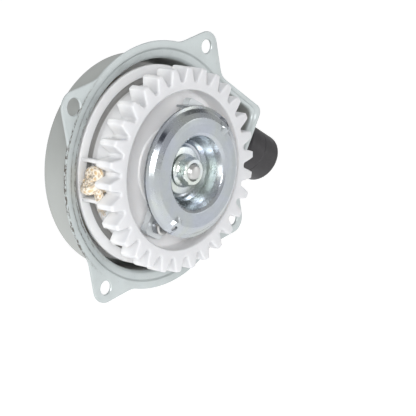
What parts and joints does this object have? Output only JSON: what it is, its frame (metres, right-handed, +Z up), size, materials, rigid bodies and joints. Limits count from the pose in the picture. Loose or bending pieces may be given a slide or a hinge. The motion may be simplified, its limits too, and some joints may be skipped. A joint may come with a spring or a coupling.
{
  "type": "recoil starter",
  "caption": "Recoil starter: drawn steel case with bolting ears, geared nylon rope reel, swinging pawls under a domed friction plate, centre nut, rope and pull handle.",
  "frame": {"origin": "on the reel's axis, in the plane of the flange's front face, which seats on the engine", "axes": "-Y out of the open front towards the engine, along the reel's axis; +Z up in use; +X to the right seen from the front"},
  "size_m": [0.1622, 0.0566, 0.1294],
  "materials": {
    "case_zinc": "satin pale zinc plating with worn edges",
    "stud_steel": "turned steel",
    "guide_steel": "zinc-plated steel",
    "spring_steel": "blued spring steel",
    "reel_nylon": "moulded white nylon, satin",
    "bush_bronze": "oiled sintered bronze",
    "rope": "braided cream rope with gold flecks",
    "pawl_zinc": "bright zinc plating",
    "plate_zinc": "mirror-bright bluish zinc plating",
    "nut_zinc": "bright zinc plating",
    "handle_plastic": "satin black moulded plastic"
  },
  "bodies": {
    "housing": {"case": "case_zinc", "centre_stud": "stud_steel", "stud_washer": "stud_steel", "rope_guide": "guide_steel", "recoil_spring": "spring_steel", "plate_washer": "nut_zinc", "flange_nut": "nut_zinc", "rope_lead": "rope"},
    "rope_reel": {"reel": "reel_nylon", "spring_cover": "case_zinc", "hub_bush": "bush_bronze", "thrust_washer": "guide_steel", "rope_winding": "rope", "rope_knot": "rope", "pawl_pivot_1": "stud_steel", "pawl_pivot_2": "stud_steel", "pawl_spring_1": "spring_steel", "pawl_spring_2": "spring_steel", "friction_spring": "spring_steel"},
    "plate": {"friction_plate": "plate_zinc"},
    "first_pawl": {"pawl_1": "pawl_zinc"},
    "second_pawl": {"pawl_2": "pawl_zinc"},
    "pull_handle": {"handle_grip": "handle_plastic", "handle_plug": "handle_plastic", "handle_ferrule": "guide_steel", "handle_knot": "rope"}
  },
  "joints": [
    {"name": "reel_spin", "type": "hinge", "parent": "housing", "child": "rope_reel", "pos_m": [0, 0, 0], "axis": [0, 1, 0], "range_deg": [0, 1440], "stiffness_Nm_per_rad": 0.012, "springref_deg": -458.37, "deforming": ["recoil_spring"]},
    {"name": "handle_pull", "type": "slide", "parent": "housing", "child": "pull_handle", "axis": [0.866, 0, -0.5], "range_m": [0, 1.02], "deforming": ["rope_lead"]},
    {"name": "plate_turn", "type": "hinge", "parent": "rope_reel", "child": "plate", "pos_m": [0, 0, 0], "axis": [0, -1, 0], "range_deg": [0, 25], "stiffness_Nm_per_rad": 0.02, "springref_deg": -11.46},
    {"name": "pawl_1_swing", "type": "hinge", "parent": "rope_reel", "child": "first_pawl", "pos_m": [-0.01376, -0.0107, -0.027], "axis": [0, -1, 0], "range_deg": [0, 18.5]},
    {"name": "pawl_2_swing", "type": "hinge", "parent": "rope_reel", "child": "second_pawl", "pos_m": [0.01376, -0.0107, 0.027], "axis": [0, -1, 0], "range_deg": [0, 18.5]}
  ],
  "couplings": [
    {"joint": "handle_pull", "follows": "reel_spin", "m_per_rad": 0.0405},
    {"joint": "pawl_1_swing", "follows": "plate_turn", "ratio": 0.72},
    {"joint": "pawl_2_swing", "follows": "plate_turn", "ratio": 0.72}
  ]
}
